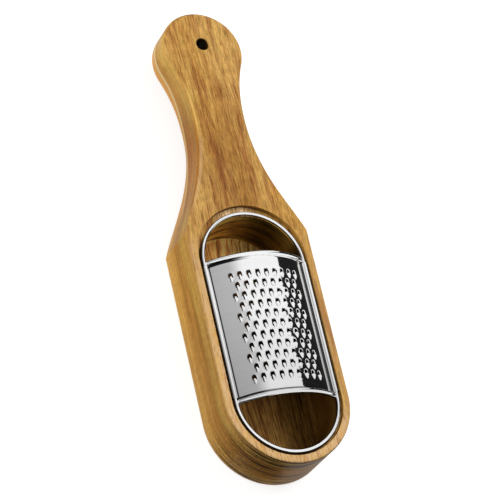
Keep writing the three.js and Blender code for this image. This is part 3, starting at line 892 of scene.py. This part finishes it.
def card(name, strips, low_level, high_level):
    """A card that shows only in reflections. Its strips run between a lower and an upper line.

    It has one level of light at its lower line and another or the same at its upper line."""
    mesh = bmesh.new()
    shares = mesh.loops.layers.uv.new("share")
    for (low_a, high_a), (low_b, high_b) in zip(strips, strips[1:]):
        face = mesh.faces.new([mesh.verts.new(c) for c in (low_a, low_b, high_b, high_a)])
        for loop, share in zip(face.loops, (0, 0, 1, 1)):
            loop[shares].uv = (0, share)
    sign = piece_of(name, mesh)
    look = new_look(sign, name)
    nodes = look.node_tree.nodes
    nodes.remove(nodes["Principled BSDF"])
    height = outputs(look, "SeparateXYZ", outputs(look, "UVMap")["UV"])["Y"]
    level = span(height, 0.0, 1.0, low_level, high_level)
    fill(nodes["Material Output"], {"Surface": new_node("Emission", {"Strength": level})})
    sign.visible_camera = False
    sign.visible_diffuse = False
    sign.visible_shadow = False
    sign.visible_transmission = False


card("right flag", (
    ((0.62, 0.75, 0.002), (0.62, 0.75, 0.05)),
    ((0.55, 0.25, 0.002), (0.463, 0.21, 0.358)),
    ((0.50, 0.00, 0.002), (0.40, 0.098, 0.45)),
    ((0.49, -0.05, 0.002), (0.31, -0.08, 0.58)),
), 0.016, 0.016)
card("right floor flag", (
    ((0.045, -0.20, 0.003), (0.62, 0.02, 0.003)),
    ((0.045, 0.00, 0.003), (0.62, 0.30, 0.003)),
    ((0.045, 0.06, 0.003), (0.62, 0.75, 0.003)),
), 0.02, 0.02)
card("left card", (
    ((-0.46, 0.00, 0.20), (-0.38, 0.02, 0.56)),
    ((-0.50, 0.30, 0.20), (-0.38, 0.26, 0.54)),
    ((-0.50, 0.60, 0.20), (-0.38, 0.54, 0.50)),
), 0.46, 0.50)
card("left card edge", (
    ((-0.38, 0.02, 0.56), (-0.09, 0.06, 0.80)),
    ((-0.38, 0.26, 0.54), (-0.09, 0.28, 0.78)),
    ((-0.38, 0.54, 0.50), (-0.09, 0.52, 0.76)),
), 0.50, 1.0)
card("left flag", (
    ((0.05, -0.55, 0.002), (0.05, -0.55, 0.17)),
    ((-0.30, -0.42, 0.002), (-0.30, -0.42, 0.22)),
    ((-0.45, 0.00, 0.002), (-0.45, 0.00, 0.22)),
    ((-0.50, 0.60, 0.002), (-0.50, 0.60, 0.20)),
    ((0.62, 0.75, 0.002), (0.62, 0.75, 0.20)),
), 0.01, 0.01)
card("left floor flag", (
    ((0.05, -0.54, 0.003), (0.0, -0.142, 0.003)),
    ((-0.30, -0.41, 0.003), (-0.03, -0.132, 0.003)),
    ((-0.45, 0.00, 0.003), (-0.039, 0.00, 0.003)),
    ((-0.50, 0.60, 0.003), (-0.030, 0.14, 0.003)),
), 0.02, 0.02)

world = bpy.data.worlds.new("studio")
world.use_nodes = True
bpy.context.scene.world = world
sky_level = new_node("MapRange", {
    "Value": outputs(world, "LightPath")["Is Diffuse Ray"], "To Min": SKY_SEEN, "To Max": SKY_LIGHT})
fill(world.node_tree.nodes["Background"], {"Color": WHITE, "Strength": sky_level})


# Camera. It looks down on the grater from the lower left, turned so that the handle points up.
CAMERA_PLACE = Vector((-0.51522, -0.48844, 1.01760))
CAMERA_AIM = Vector((0.0075, -0.0059, 0.017))
CAMERA_TURN = math.radians(39.54)
CAMERA_LENS = 158.3
CAMERA_SENSOR = 36
camera_data = bpy.data.cameras.new("camera")
camera_data.lens = CAMERA_LENS
camera_data.sensor_width = CAMERA_SENSOR
camera = bpy.data.objects.new("camera", camera_data)
bpy.context.scene.collection.objects.link(camera)
view_line = (CAMERA_AIM - CAMERA_PLACE).to_track_quat("-Z", "Y").to_matrix().to_4x4()
camera.matrix_world = Matrix.Translation(CAMERA_PLACE) @ view_line @ Matrix.Rotation(CAMERA_TURN, 4, "Z")
bpy.context.scene.camera = camera
bpy.context.scene.view_settings.view_transform = "Standard"
